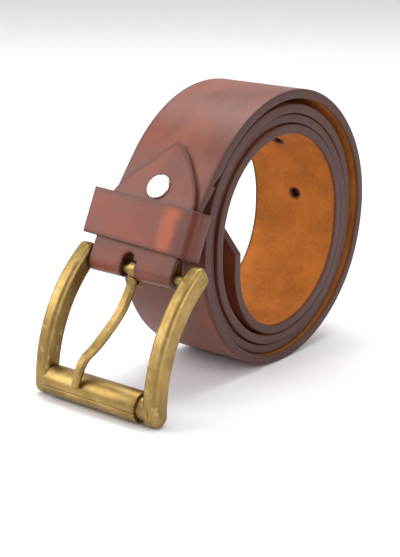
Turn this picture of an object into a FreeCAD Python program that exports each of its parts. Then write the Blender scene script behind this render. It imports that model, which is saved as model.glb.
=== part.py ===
import FreeCAD, Part
import math
import os

# A leather belt, rolled up and standing on its rim, with its roller buckle resting on the same floor.
# Millimetres, +Z up.  X runs across the strap, the buckle is at the -Y side.
# The grain side of the strap is the outside of the roll.
# The side section of the belt is drawn in the Y-Z plane as one path of straights and tangent arcs
# along the strap's grain face, from the buckle end to the tip, and "station" is the distance along it.

# ---------------------------------------------------------------- strap
STRAP_WIDTH = 40.0
STRAP_THICKNESS = 3.5
TURN_GAP = 0.3            # air between two turns of the roll
LEAD_STEEP = 67.4         # slope of the buckle end above horizontal, degrees
LEAD_SHALLOW = 52.0       # slope where the strap meets the roll, degrees
LEAD_LENGTH = 22.9        # straight from the heel bar to the bend
BEND_RADIUS = 20.0
ROLL_RADIUS = 48.55       # outer radius of the first tight half turn
TIGHT_HALF_TURNS = 6
OVAL_STRAIGHT = 3.0       # each tight half turn is this much taller than it is wide
LOOSE_TOP = 1.7           # air under the loose first turn, at the top of the roll
LOOSE_FRONT = 4.65        # how much wider than the roll its inside curves, at the front
LOOSE_BACK = 2.55         # how much wider than the roll its outside curves, at the back
ROLL_CLEARANCE = 0.55     # from the roll to the back of the keeper
TIP_CURL_RADIUS = 30.0    # the free end curls away from the roll
TIP_STRAIGHT = 25.5
TIP_LENGTH = 20.0         # the pointed part
TIP_ROUND = 5.0
STRAP_END = 6.5           # station of the strap's square end, above the heel bar
SKIVED_THICKNESS = 2.0    # the square end is pared from the flesh side
SKIVE_LENGTH = 4.0
HOLE_COUNT = 5
HOLE_DIAMETER = 3.6
HOLE_SPACING = 30.0
FIRST_HOLE_FROM_TIP = 141.0

# ---------------------------------------------------------------- chape: the short piece round the bar
CHAPE_THICKNESS = 1.6
CHAPE_INSET = 0.8         # narrower than the strap
CHAPE_SHIFT = -3.2        # its middle, across the strap, at the heel bar
CHAPE_SKEW = 0.10         # sideways travel for each mm up
CHAPE_BEYOND_SCREW = 18.6
CHAPE_TIP_LEAN = -2.0     # the point itself sits to one side
# the pointed end: distance from the tip, and the share of the half width there
CHAPE_POINT = ((27.0, 1.0), (22.9, 0.965), (20.4, 0.91), (17.5, 0.83), (15.5, 0.755), (11.6, 0.6),
               (8.0, 0.44), (3.7, 0.245))
CHAPE_BACK_ANGLE = 20.0   # the back leg leans towards the front leg, degrees
BACK_LEG_PAST_SCREW = 6.0
SLOT_LEFT_GAP = 3.2       # beside the tongue's loop
SLOT_RIGHT_GAP = 0.3
SLOT_END_RADIUS = 2.6
SLOT_END_HEIGHT = 2.9     # of the end's centre above the heel bar, on the front leg
SLOT_BACK_TOP = 4.4
LAY_GAP = 0.05            # between leathers that lie on each other

# ---------------------------------------------------------------- screw through the chape and strap
SCREW_ABOVE_KEEPER = 0.2
HEAD_DIAMETER = 9.4
HEAD_THICKNESS = 0.8
BARREL_DIAMETER = 4.6
SHANK_DIAMETER = 3.0
SHANK_CLEARANCE = 0.05
BACK_HEAD_DIAMETER = 8.4
BACK_HEAD_THICKNESS = 0.6
BACK_HEAD_GAP = 0.12      # off the back leg, which starts to bend under the head
DRIVER_SLOT_WIDTH = 1.0
DRIVER_SLOT_DEPTH = 0.35

# ---------------------------------------------------------------- keeper loop
KEEPER_HEIGHT = 17.2
KEEPER_ABOVE_ARMS = 3.6   # its lower edge, over the arms' blunt tops
KEEPER_WALL = 1.4
KEEPER_LEFT_SLACK = 7.4   # from the strap's edge to the loop's inside
KEEPER_RIGHT_SLACK = 1.4
KEEPER_FRONT_GAP = 0.2    # from the chape's front face
KEEPER_BACK_GAP = 0.95    # from its back leg
KEEPER_CORNER = 3.2
KEEPER_SKEW = -2.3        # degrees, right end low
KEEPER_SEAM = 0.3
STAPLE_WIRE = 0.6
STAPLE_SPAN = 6.0
STAPLE_FROM_EDGE = 4.5

# ---------------------------------------------------------------- buckle
HEEL_BAR_DIAMETER = 3.8
BAR_CLEARANCE = 0.1       # round the heel bar, for the chape and the tongue
BUCKLE_LENGTH = 46.1      # heel bar to roller axis
ARM_LEFT_GAP = 3.4        # from the strap's edge to the arm
ARM_RIGHT_GAP = 1.8
ARM_WIDTH = 6.5
ARM_DEPTH = 7.7
ARM_RADIUS = 54.8         # of the arm's bow, to its middle
HEEL_BAR_INSET = 1.5      # heel bar behind the arm's middle
FOOT_BEYOND = 1.9         # the arms' round feet reach past the roller axis
ARM_TOP_BEYOND = 4.6      # and their blunt tops past the heel bar
ARM_TOP_ROUND = 2.2
ARM_EDGE_ROUND = 1.7
ROLLER_DIAMETER = 11.3
ROLLER_WALL = 1.3
ROLLER_CLEARANCE = 0.08
ROLLER_LEFT_PLAY = 0.4
ROLLER_RIGHT_PLAY = 2.0
ROLLER_SEAM = 0.3
ROLLER_SEAM_ANGLE = 215.0

# ---------------------------------------------------------------- tongue
TONGUE_ROOT_WIDTH = 3.2
TONGUE_WIDTH = 4.3        # where it is widest
TONGUE_WIDEST = 0.35      # share of its length from the heel bar
TONGUE_TIP_WIDTH = 3.6
TONGUE_THICKNESS = 2.6
TONGUE_TIP_THICKNESS = 1.9
TONGUE_LOOP_WALL = 1.4
TONGUE_TAIL = 5.3         # the hook's end reaches this far below the heel bar's axis
TONGUE_X = -2.5           # at the heel bar
TONGUE_DRIFT = -4.4       # sideways, from the heel bar to the tip
TONGUE_REST_GAP = 0.12    # tip above the roller
TONGUE_EDGE_ROUND = 0.7

X_AXIS = FreeCAD.Vector(1, 0, 0)

# ---------------------------------------------------------------- sizes that follow from those above
HEEL_BAR_RADIUS = HEEL_BAR_DIAMETER / 2
FOLD_RADIUS = HEEL_BAR_RADIUS + BAR_CLEARANCE
CHAPE_WIDTH = STRAP_WIDTH - CHAPE_INSET
KEEPER_LOW = ARM_TOP_BEYOND + KEEPER_ABOVE_ARMS
KEEPER_LEFT = -STRAP_WIDTH / 2 - KEEPER_LEFT_SLACK - KEEPER_WALL
KEEPER_RIGHT = STRAP_WIDTH / 2 + KEEPER_RIGHT_SLACK + KEEPER_WALL
SCREW_STATION = KEEPER_LOW + KEEPER_HEIGHT + SCREW_ABOVE_KEEPER + HEAD_DIAMETER / 2
CHAPE_TIP = SCREW_STATION + CHAPE_BEYOND_SCREW
INNER_LEFT = -STRAP_WIDTH / 2 - ARM_LEFT_GAP
INNER_RIGHT = STRAP_WIDTH / 2 + ARM_RIGHT_GAP
CORE_BAR_DIAMETER = ROLLER_DIAMETER - 2 * ROLLER_WALL - 2 * ROLLER_CLEARANCE
FIRST_TURN_HEIGHT = 2 * ROLL_RADIUS + OVAL_STRAIGHT + STRAP_THICKNESS + LOOSE_TOP
FRONT_TOP_RADIUS = ROLL_RADIUS + STRAP_THICKNESS + LOOSE_FRONT
BACK_TOP_RADIUS = ROLL_RADIUS + LOOSE_BACK
BACK_LOW_RADIUS = FIRST_TURN_HEIGHT - BACK_TOP_RADIUS


def vec(x, y, z):
    return FreeCAD.Vector(x, y, z)


def direction(angle):
    """Unit vector in the Y-Z plane, at an angle above +Y."""
    a = math.radians(angle)
    return vec(0, math.cos(a), math.sin(a))


# ================================================================ how far the buckle end stands off the roll
LEAD_UP = direction(LEAD_STEEP)
LEAD_OUT = direction(LEAD_STEEP + 90.0)


def keeper_faces():
    """Inner front and back of the loop, in front of and behind the heel bar."""
    front = -FOLD_RADIUS - LAY_GAP - CHAPE_THICKNESS - KEEPER_FRONT_GAP
    leather = SKIVED_THICKNESS + 2 * CHAPE_THICKNESS + 2 * LAY_GAP
    return front, front + KEEPER_FRONT_GAP + leather + KEEPER_BACK_GAP


def heel_bar_beside_roll(ramp):
    """The heel bar, with the roll's upper centre at the origin, for one length of the ramp."""
    lift = FIRST_TURN_HEIGHT - FRONT_TOP_RADIUS - ROLL_RADIUS - OVAL_STRAIGHT
    centre = vec(0, BACK_LOW_RADIUS - BACK_TOP_RADIUS, lift)
    roll_end = centre + direction(LEAD_SHALLOW + 90.0) * FRONT_TOP_RADIUS
    bend_end = roll_end - direction(LEAD_SHALLOW) * ramp
    bend_centre = bend_end - direction(LEAD_SHALLOW + 90.0) * BEND_RADIUS
    bend_start = bend_centre + LEAD_OUT * BEND_RADIUS
    return bend_start - LEAD_UP * LEAD_LENGTH - LEAD_OUT * FOLD_RADIUS


def keeper_to_roll(ramp):
    """Air between the roll and the nearest back corner of the keeper."""
    depth = keeper_faces()[1] + KEEPER_WALL
    rise = (KEEPER_RIGHT - KEEPER_LEFT) / 2 * math.sin(math.radians(abs(KEEPER_SKEW)))
    distances = []
    for height in (KEEPER_LOW - rise, KEEPER_LOW + KEEPER_HEIGHT + rise):
        corner = heel_bar_beside_roll(ramp) + LEAD_UP * height - LEAD_OUT * depth
        distances.append(corner.Length - ROLL_RADIUS)
    return min(distances)


def ramp_length():
    """Straight from the bend to the roll, as long as the keeper's clearance needs."""
    low = 0.0
    high = ROLL_RADIUS
    for _ in range(50):
        middle = (low + high) / 2
        if keeper_to_roll(middle) < ROLL_CLEARANCE:
            low = middle
        else:
            high = middle
    return high


# ================================================================ the path of the strap's grain face
def make_path():
    """Elements (length, heading at start, radius or None, turn), each after the other."""
    elements = []

    def straight(length, heading):
        elements.append((length, heading, None, 0.0))

    def turn(radius, angle, heading):
        elements.append((radius * math.radians(angle), heading, radius, angle))

    straight(LEAD_LENGTH, LEAD_STEEP)
    turn(BEND_RADIUS, LEAD_STEEP - LEAD_SHALLOW, LEAD_STEEP)
    straight(ramp_length(), LEAD_SHALLOW)
    turn(FRONT_TOP_RADIUS, LEAD_SHALLOW, LEAD_SHALLOW)
    turn(BACK_TOP_RADIUS, 90.0, 0.0)
    turn(BACK_LOW_RADIUS, 90.0, -90.0)
    heading = -180.0
    radius = ROLL_RADIUS
    for _ in range(TIGHT_HALF_TURNS):
        turn(radius, 90.0, heading)
        straight(OVAL_STRAIGHT, heading - 90.0)
        turn(radius, 90.0, heading - 90.0)
        heading -= 180.0
        radius -= (STRAP_THICKNESS + TURN_GAP) / 2
    turn(TIP_CURL_RADIUS, 90.0, heading)
    straight(TIP_STRAIGHT, heading - 90.0)
    return elements


PATH = make_path()
PATH_LENGTH = sum(element[0] for element in PATH)


def walk(element, point, distance):
    """The point and heading a distance along one element that starts at a point."""
    length, heading, radius, _ = element
    if radius is None:
        return point + direction(heading) * distance, heading
    out = direction(heading + 90.0)
    centre = point - out * radius
    new_heading = heading - math.degrees(distance / radius)
    return centre + direction(new_heading + 90.0) * radius, new_heading


def path_starts(origin):
    """The start point of every element."""
    starts = [origin]
    for element in PATH:
        starts.append(walk(element, starts[-1], element[0])[0])
    return starts


def floor_shift():
    """Lift the path so that the lowest point of the first turn lies on the floor."""
    starts = path_starts(vec(0, 0, 0))
    bottom_of_first_turn = starts[6]
    return vec(0, -bottom_of_first_turn.y, -bottom_of_first_turn.z)


STARTS = path_starts(floor_shift())


def at_station(station, offset=0.0):
    """Point on the grain face, moved outwards by an offset, and the heading there."""
    done = 0.0
    for element, start in zip(PATH, STARTS):
        if station <= done + element[0] or element is PATH[-1]:
            point, heading = walk(element, start, station - done)
            return point + direction(heading + 90.0) * offset, heading
        done += element[0]


def run_of_edges(first, last, offset):
    """Edges of the path between two stations, moved outwards by an offset."""
    edges = []
    done = 0.0
    for element, start in zip(PATH, STARTS):
        low = max(first, done)
        high = min(last, done + element[0])
        if high - low > 1e-6:
            points = []
            for share in (0.0, 0.5, 1.0):
                point, heading = walk(element, start, low + (high - low) * share - done)
                points.append(point + direction(heading + 90.0) * offset)
            if element[2] is None:
                edges.append(Part.makeLine(points[0], points[2]))
            else:
                edges.append(Part.Arc(points[0], points[1], points[2]).toShape())
        done += element[0]
    return edges


def first_point(edges):
    return edges[0].valueAt(edges[0].FirstParameter)


def last_point(edges):
    return edges[-1].valueAt(edges[-1].LastParameter)


def extrude_outline(edges, width, middle=0.0):
    """A solid of a closed outline in the Y-Z plane, across the strap."""
    wire = Part.Wire(Part.__sortEdges__(edges))
    face = Part.Face(wire)
    face.translate(vec(middle - width / 2, 0, 0))
    return face.extrude(vec(width, 0, 0))


HEEL_BAR = STARTS[0] - LEAD_OUT * FOLD_RADIUS


def stand_on_lead(shape):
    """Place a shape drawn with the heel bar on X and the strap rising along Z."""
    shape.rotate(vec(0, 0, 0), X_AXIS, LEAD_STEEP - 90.0)
    shape.translate(HEEL_BAR)
    return shape


def normal_cylinder(station, x, radius, outer, inner):
    """A cylinder square to the strap at a station, between two offsets from the grain face."""
    low, heading = at_station(station, inner)
    return Part.makeCylinder(radius, outer - inner, low + X_AXIS * x, direction(heading + 90.0))


# ================================================================ strap
def skive_stations():
    """Where the paring of the strap's end starts and stops."""
    start = SCREW_STATION + BACK_LEG_PAST_SCREW + 0.5
    return start, start + SKIVE_LENGTH


def strap_band():
    """The whole strap except its pointed end, as a plain band."""
    thin_until, thick_from = skive_stations()
    square_from = PATH_LENGTH - TIP_LENGTH
    outer = run_of_edges(STRAP_END, square_from, 0.0)
    thin = run_of_edges(STRAP_END, thin_until, -SKIVED_THICKNESS)
    thick = run_of_edges(thick_from, square_from, -STRAP_THICKNESS)
    closing = [
        Part.makeLine(first_point(outer), first_point(thin)),
        Part.makeLine(last_point(thin), first_point(thick)),
        Part.makeLine(last_point(thick), last_point(outer)),
    ]
    return extrude_outline(outer + thin + thick + closing, STRAP_WIDTH)


def pointed_outline(half_width, length, round_radius):
    """A symmetrical point in the X-Z plane: base on Z = 0, rounded apex at Z = length."""
    slope = math.atan2(length, half_width)
    reach = round_radius / math.cos(slope)
    apex_z = length
    centre_z = apex_z - round_radius
    grow = reach - round_radius
    touch = vec(round_radius * math.sin(slope), 0, centre_z + round_radius * math.cos(slope))
    base_z = touch.z - (half_width - touch.x) * math.tan(slope)
    left = vec(-touch.x, 0, touch.z)
    edges = [
        Part.Arc(touch, vec(0, 0, apex_z), left).toShape(),
        Part.makeLine(left, vec(-half_width, 0, base_z)),
        Part.makeLine(vec(-half_width, 0, base_z), vec(-half_width, 0, -1 - grow)),
        Part.makeLine(vec(-half_width, 0, -1 - grow), vec(half_width, 0, -1 - grow)),
        Part.makeLine(vec(half_width, 0, -1 - grow), vec(half_width, 0, base_z)),
        Part.makeLine(vec(half_width, 0, base_z), touch),
    ]
    return Part.Face(Part.Wire(edges))


def strap_tip():
    """The pointed end, cut from a short straight band."""
    start = PATH_LENGTH - TIP_LENGTH
    outer = run_of_edges(start, PATH_LENGTH, 0.0)
    inner = run_of_edges(start, PATH_LENGTH, -STRAP_THICKNESS)
    closing = [
        Part.makeLine(first_point(outer), first_point(inner)),
        Part.makeLine(last_point(outer), last_point(inner)),
    ]
    band = extrude_outline(outer + inner + closing, STRAP_WIDTH)
    base = at_station(start)[0]
    outline = pointed_outline(STRAP_WIDTH / 2, TIP_LENGTH, TIP_ROUND)
    outline.translate(vec(0, base.y - 2 * STRAP_THICKNESS, base.z))
    return band.common(outline.extrude(vec(0, 4 * STRAP_THICKNESS, 0)))


def hole_stations():
    first = PATH_LENGTH - FIRST_HOLE_FROM_TIP
    return [first - number * HOLE_SPACING for number in range(HOLE_COUNT)]


def make_strap():
    strap = strap_band().fuse(strap_tip())
    past_face = TURN_GAP * 0.45
    for station in hole_stations():
        hole = normal_cylinder(station, 0, HOLE_DIAMETER / 2, past_face, -STRAP_THICKNESS - past_face)
        strap = strap.cut(hole)
    barrel = normal_cylinder(SCREW_STATION, 0, BARREL_DIAMETER / 2, 1, -SKIVED_THICKNESS - 1)
    strap = strap.cut(barrel)
    return strap.removeSplitter()


# ================================================================ chape
def fold_point(angle, radius):
    """A point round the heel bar: 0 is its front, 90 below it, 180 behind it."""
    turned = direction(LEAD_STEEP + 90.0 + angle)
    return HEEL_BAR + turned * radius


def fold_arc(radius):
    last = 180.0 + CHAPE_BACK_ANGLE
    points = [fold_point(angle, radius) for angle in (0, last / 2, last)]
    return Part.Arc(*points).toShape()


def back_leg_join(radius, offset):
    """Where the leaning part of the back leg reaches the skived strap, as a station."""
    lean = math.radians(CHAPE_BACK_ANGLE)
    in_front = FOLD_RADIUS + offset
    return (radius / math.cos(lean) + in_front) / math.tan(lean)


def chape_side(radius, front_offset, back_offset):
    """One face of the folded chape: front leg, fold and back leg."""
    join = back_leg_join(radius, back_offset)
    back_end = SCREW_STATION + BACK_LEG_PAST_SCREW
    front = run_of_edges(0.0, CHAPE_TIP, front_offset)
    back = run_of_edges(join, back_end, back_offset)
    arc = fold_arc(radius)
    lean = Part.makeLine(fold_point(180.0 + CHAPE_BACK_ANGLE, radius), first_point(back))
    return front, [arc, lean], back


def chape_strip():
    """The folded strip, wider than needed."""
    lay = LAY_GAP
    under = SKIVED_THICKNESS + lay
    inner_front, inner_fold, inner_back = chape_side(FOLD_RADIUS, lay, -under)
    outer_radius = FOLD_RADIUS + CHAPE_THICKNESS
    outer_front, outer_fold, outer_back = chape_side(
        outer_radius, lay + CHAPE_THICKNESS, -under - CHAPE_THICKNESS)
    # the fold's faces meet the front leg's, which stand off the grain face by the lay gap
    closing = [
        Part.makeLine(first_point(inner_front), fold_point(0, FOLD_RADIUS)),
        Part.makeLine(first_point(outer_front), fold_point(0, outer_radius)),
        Part.makeLine(last_point(inner_front), last_point(outer_front)),
        Part.makeLine(last_point(inner_back), last_point(outer_back)),
    ]
    edges = inner_front + inner_fold + inner_back + outer_front + outer_fold + outer_back + closing
    return extrude_outline(edges, CHAPE_WIDTH + 20.0)


def chape_side_points(side):
    """One side of the pointed end, from its full width up, in X-Z with the screw at the origin."""
    points = []
    for below_tip, share in CHAPE_POINT:
        height = CHAPE_TIP - SCREW_STATION - below_tip
        lean = CHAPE_TIP_LEAN * max(0.0, 1 - below_tip / 11.0) ** 2
        x = chape_middle(height) + lean + side * share * CHAPE_WIDTH / 2
        points.append(vec(x, 0, height))
    return points


def chape_middle(height):
    """The strip's middle line, at a height above the screw."""
    return CHAPE_SHIFT + CHAPE_SKEW * (height + SCREW_STATION)


def chape_outline():
    """The strip's plan, in X-Z with the screw at the origin and Z up the strap."""
    top = CHAPE_TIP - SCREW_STATION
    left = chape_side_points(-1)
    right = chape_side_points(1)
    point = Part.BSplineCurve()
    point.interpolate(left + [vec(chape_middle(top) + CHAPE_TIP_LEAN, 0, top)] + right[::-1])
    bottom = -SCREW_STATION - 4 * CHAPE_THICKNESS
    low_left = vec(chape_middle(bottom) - CHAPE_WIDTH / 2, 0, bottom)
    low_right = vec(chape_middle(bottom) + CHAPE_WIDTH / 2, 0, bottom)
    edges = [
        point.toShape(),
        Part.makeLine(right[0], low_right),
        Part.makeLine(low_right, low_left),
        Part.makeLine(low_left, left[0]),
    ]
    return Part.Face(Part.Wire(edges))


def chape_cutter():
    """The plan, as a block square to the strap at the screw."""
    face = chape_outline()
    reach = 40.0
    face.translate(vec(0, -reach, 0))
    block = face.extrude(vec(0, 2 * reach, 0))
    centre, heading = at_station(SCREW_STATION)
    block.rotate(vec(0, 0, 0), X_AXIS, heading - 90.0)
    block.translate(centre)
    return block


def slot_cutter():
    """The long hole in the fold, for the tongue's loop.  Its round end sits to the left."""
    left = TONGUE_X - TONGUE_ROOT_WIDTH / 2 - SLOT_LEFT_GAP
    right = TONGUE_X + TONGUE_ROOT_WIDTH / 2 + SLOT_RIGHT_GAP
    reach = 4 * CHAPE_THICKNESS
    low = -2 * reach
    front = Part.makeBox(right - left, 2 * reach, SLOT_END_HEIGHT - low, vec(left, low, low))
    end = Part.makeCylinder(
        SLOT_END_RADIUS, 2 * reach, vec(left + SLOT_END_RADIUS, low, SLOT_END_HEIGHT), vec(0, 1, 0))
    back = Part.makeBox(right - left, 2 * reach, SLOT_BACK_TOP - low, vec(left, 0, low))
    return stand_on_lead(front.fuse([end, back]))


def make_chape():
    chape = chape_strip().common(chape_cutter())
    chape = chape.cut(slot_cutter())
    reach = CHAPE_THICKNESS + 1
    barrel = normal_cylinder(SCREW_STATION, 0, BARREL_DIAMETER / 2, reach, -SKIVED_THICKNESS - reach)
    return chape.cut(barrel)


# ================================================================ screw
def make_screw_post():
    """Flat head on the front, with a bored barrel through the leather."""
    seat = LAY_GAP + CHAPE_THICKNESS
    depth = SKIVED_THICKNESS + 2 * LAY_GAP + CHAPE_THICKNESS
    head = normal_cylinder(SCREW_STATION, 0, HEAD_DIAMETER / 2, seat + HEAD_THICKNESS, seat)
    rim = [edge for edge in head.Edges if edge.Curve.TypeId == "Part::GeomCircle"]
    out = direction(at_station(SCREW_STATION)[1] + 90.0)
    front_rim = max(rim, key=lambda edge: edge.Curve.Center.dot(out))
    head = head.makeFillet(HEAD_THICKNESS * 0.55, [front_rim])
    barrel = normal_cylinder(SCREW_STATION, 0, BARREL_DIAMETER / 2, seat, -depth + 0.2)
    bore_radius = SHANK_DIAMETER / 2 + SHANK_CLEARANCE
    bore = normal_cylinder(SCREW_STATION, 0, bore_radius, seat - 0.3, -depth - 1)
    return head.fuse(barrel).cut(bore).removeSplitter()


def make_screw():
    """Slotted screw, from the back."""
    under = -SKIVED_THICKNESS - LAY_GAP - CHAPE_THICKNESS - BACK_HEAD_GAP
    station = SCREW_STATION
    head = normal_cylinder(station, 0, BACK_HEAD_DIAMETER / 2, under, under - BACK_HEAD_THICKNESS)
    shank = normal_cylinder(station, 0, SHANK_DIAMETER / 2, CHAPE_THICKNESS - 0.6, under)
    slot = Part.makeBox(BACK_HEAD_DIAMETER + 1, 1, DRIVER_SLOT_WIDTH)
    slot.translate(vec(-BACK_HEAD_DIAMETER / 2 - 0.5, 0, -DRIVER_SLOT_WIDTH / 2))
    centre, heading = at_station(station, under - BACK_HEAD_THICKNESS)
    slot.rotate(vec(0, 0, 0), X_AXIS, heading - 90.0)
    slot.translate(centre + direction(heading + 90.0) * DRIVER_SLOT_DEPTH)
    return head.fuse(shank).cut(slot).removeSplitter()


# ================================================================ keeper
def rounded_block(left, right, front, back, corner, height):
    """A block with its upright edges rounded, standing on Z = 0."""
    block = Part.makeBox(right - left, back - front, height, vec(left, front, 0))
    upright = [edge for edge in block.Edges if abs(edge.tangentAt(edge.FirstParameter).z) > 0.9]
    return block.makeFillet(corner, upright)


def place_keeper(shape):
    shape.translate(vec(0, 0, KEEPER_LOW))
    middle = vec((KEEPER_LEFT + KEEPER_RIGHT) / 2, 0, KEEPER_LOW + KEEPER_HEIGHT / 2)
    shape.rotate(middle, vec(0, 1, 0), -KEEPER_SKEW)
    return stand_on_lead(shape)


def staple(height):
    """A flat staple across the seam, with two legs through the leather."""
    _, back = keeper_faces()
    middle = (KEEPER_LEFT + KEEPER_RIGHT) / 2
    wire = STAPLE_WIRE
    outer = back + KEEPER_WALL
    low = height - wire / 2
    crown = Part.makeBox(STAPLE_SPAN, wire, wire, vec(middle - STAPLE_SPAN / 2, outer - wire, low))
    legs = []
    for side in (-1, 1):
        x = middle + side * (STAPLE_SPAN / 2 - wire / 2) - wire / 2
        legs.append(Part.makeBox(wire, KEEPER_WALL, wire, vec(x, back, low)))
    return crown.fuse(legs).removeSplitter()


def staples():
    return [staple(STAPLE_FROM_EDGE), staple(KEEPER_HEIGHT - STAPLE_FROM_EDGE)]


def make_keeper():
    """The loop of thin leather, butted together at the back."""
    front, back = keeper_faces()
    wall = KEEPER_WALL
    outer = rounded_block(
        KEEPER_LEFT, KEEPER_RIGHT, front - wall, back + wall, KEEPER_CORNER, KEEPER_HEIGHT)
    inner = rounded_block(
        KEEPER_LEFT + wall, KEEPER_RIGHT - wall, front, back, KEEPER_CORNER - wall, KEEPER_HEIGHT)
    middle = (KEEPER_LEFT + KEEPER_RIGHT) / 2
    corner = vec(middle - KEEPER_SEAM / 2, back - wall, 0)
    seam = Part.makeBox(KEEPER_SEAM, 3 * wall, KEEPER_HEIGHT, corner)
    loop = outer.cut(inner).cut(seam)
    for wire in staples():
        loop = loop.cut(wire)
    return place_keeper(loop)


def make_keeper_staples():
    return Part.makeCompound([place_keeper(wire) for wire in staples()])


# ================================================================ buckle frame
# Drawn with the heel bar on the X axis and the roller axis straight below it, then swung forward
# until the arms' feet stand on the floor.
def bow_centre():
    """Centre of the arms' bow: behind the buckle, on the side of the roll."""
    heel = ARM_RADIUS - HEEL_BAR_INSET
    down = (heel ** 2 - ARM_RADIUS ** 2 + BUCKLE_LENGTH ** 2) / (2 * BUCKLE_LENGTH)
    return vec(0, math.sqrt(heel ** 2 - down ** 2), -down)


def bow_angle(y, z):
    centre = bow_centre()
    return math.degrees(math.atan2(z - centre.z, y - centre.y)) % 360.0


def bow_point(angle, radius):
    return bow_centre() + direction(angle) * radius


def bow_ends():
    """Angles of the arm's top end and of the middle of its round foot."""
    top = bow_angle(0, 0) - math.degrees(ARM_TOP_BEYOND / ARM_RADIUS)
    foot = bow_angle(0, -BUCKLE_LENGTH) + math.degrees(FOOT_BEYOND / ARM_RADIUS)
    return top, foot


def swing_angle():
    """How far the buckle leans forward, so that its feet stand on the floor."""
    _, foot = bow_ends()
    middle = bow_point(foot, ARM_RADIUS)
    reach = math.hypot(middle.y, middle.z)
    from_down = math.degrees(math.acos((HEEL_BAR.z - ARM_DEPTH / 2) / reach))
    own_lean = math.degrees(math.atan2(-middle.y, -middle.z))
    return from_down - own_lean


def hang_on_bar(shape):
    """Place a shape drawn round the heel bar as the buckle hangs."""
    shape.rotate(vec(0, 0, 0), X_AXIS, -swing_angle())
    shape.translate(HEEL_BAR)
    return shape


def arm_profile():
    """Side outline of one arm: a bowed bar with a round foot and a blunt top."""
    top, foot = bow_ends()
    half = ARM_DEPTH / 2
    outer = ARM_RADIUS + half
    inner = ARM_RADIUS - half
    round_out = math.degrees(ARM_TOP_ROUND / outer)
    round_in = math.degrees(ARM_TOP_ROUND / inner)
    middle = (top + foot) / 2
    beyond = math.degrees(half / ARM_RADIUS)
    outer_start = bow_point(top + round_out, outer)
    inner_start = bow_point(top + round_in, inner)
    top_out = bow_point(top, outer - ARM_TOP_ROUND)
    top_in = bow_point(top, inner + ARM_TOP_ROUND)
    lean = 1 - math.sqrt(0.5)
    corner_out = bow_point(top + round_out * lean, outer - ARM_TOP_ROUND * lean)
    corner_in = bow_point(top + round_in * lean, inner + ARM_TOP_ROUND * lean)
    foot_out = bow_point(foot, outer)
    foot_in = bow_point(foot, inner)
    edges = [
        Part.Arc(outer_start, bow_point(middle, outer), foot_out).toShape(),
        Part.Arc(foot_out, bow_point(foot + beyond, ARM_RADIUS), foot_in).toShape(),
        Part.Arc(foot_in, bow_point(middle, inner), inner_start).toShape(),
        Part.Arc(inner_start, corner_in, top_in).toShape(),
        Part.makeLine(top_in, top_out),
        Part.Arc(top_out, corner_out, outer_start).toShape(),
    ]
    return Part.Face(Part.Wire(edges))


def make_arm(side):
    """One arm, with all its long edges rounded."""
    profile = arm_profile()
    arm = profile.extrude(vec(ARM_WIDTH, 0, 0))
    long_edges = [edge for edge in arm.Edges if abs(edge.tangentAt(edge.FirstParameter).x) < 0.1]
    arm = arm.makeFillet(ARM_EDGE_ROUND, long_edges)
    start = INNER_RIGHT if side > 0 else INNER_LEFT - ARM_WIDTH
    arm.translate(vec(start, 0, 0))
    return arm


def make_buckle_frame():
    """Two bowed arms joined by the heel bar and the core bar of the roller."""
    into_arm = ARM_WIDTH * 0.5
    start = INNER_LEFT - into_arm
    length = INNER_RIGHT + into_arm - start
    heel = Part.makeCylinder(HEEL_BAR_RADIUS, length, vec(start, 0, 0), X_AXIS)
    core = Part.makeCylinder(CORE_BAR_DIAMETER / 2, length, vec(start, 0, -BUCKLE_LENGTH), X_AXIS)
    frame = make_arm(-1).fuse([make_arm(1), heel, core]).removeSplitter()
    return hang_on_bar(frame)


def make_roller():
    """A rolled tube on the core bar, with its lengthwise seam."""
    left = INNER_LEFT + ROLLER_LEFT_PLAY
    length = INNER_RIGHT - ROLLER_RIGHT_PLAY - left
    bore = ROLLER_DIAMETER / 2 - ROLLER_WALL
    start = vec(left, 0, -BUCKLE_LENGTH)
    tube = Part.makeCylinder(ROLLER_DIAMETER / 2, length, start, X_AXIS)
    rims = [edge for edge in tube.Edges if edge.Curve.TypeId == "Part::GeomCircle"]
    tube = tube.makeFillet(ROLLER_WALL * 0.45, rims)
    tube = tube.cut(Part.makeCylinder(bore, length, start, X_AXIS))
    seam = Part.makeBox(length, ROLLER_DIAMETER, ROLLER_SEAM, vec(left, 0, -ROLLER_SEAM / 2))
    seam.rotate(vec(0, 0, 0), X_AXIS, ROLLER_SEAM_ANGLE)
    seam.translate(vec(0, 0, -BUCKLE_LENGTH))
    return hang_on_bar(tube.cut(seam))


# ================================================================ tongue
def tongue_middle():
    """The shank's middle line, in front of (-Y) or behind the line from heel bar to roller."""
    rest = ROLLER_DIAMETER / 2 + TONGUE_REST_GAP + TONGUE_TIP_THICKNESS / 2
    return [
        vec(0, -0.3, -0.065 * BUCKLE_LENGTH),
        vec(0, 0.8, -0.16 * BUCKLE_LENGTH),
        vec(0, 1.0, -0.31 * BUCKLE_LENGTH),
        vec(0, -0.2, -0.43 * BUCKLE_LENGTH),
        vec(0, -0.33 * rest, -0.555 * BUCKLE_LENGTH),
        vec(0, -0.7 * rest, -0.68 * BUCKLE_LENGTH),
        vec(0, -1.08 * rest, -0.775 * BUCKLE_LENGTH),
        vec(0, -1.16 * rest, -0.86 * BUCKLE_LENGTH),
        vec(0, -rest, -BUCKLE_LENGTH + 0.2),
    ]


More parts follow.
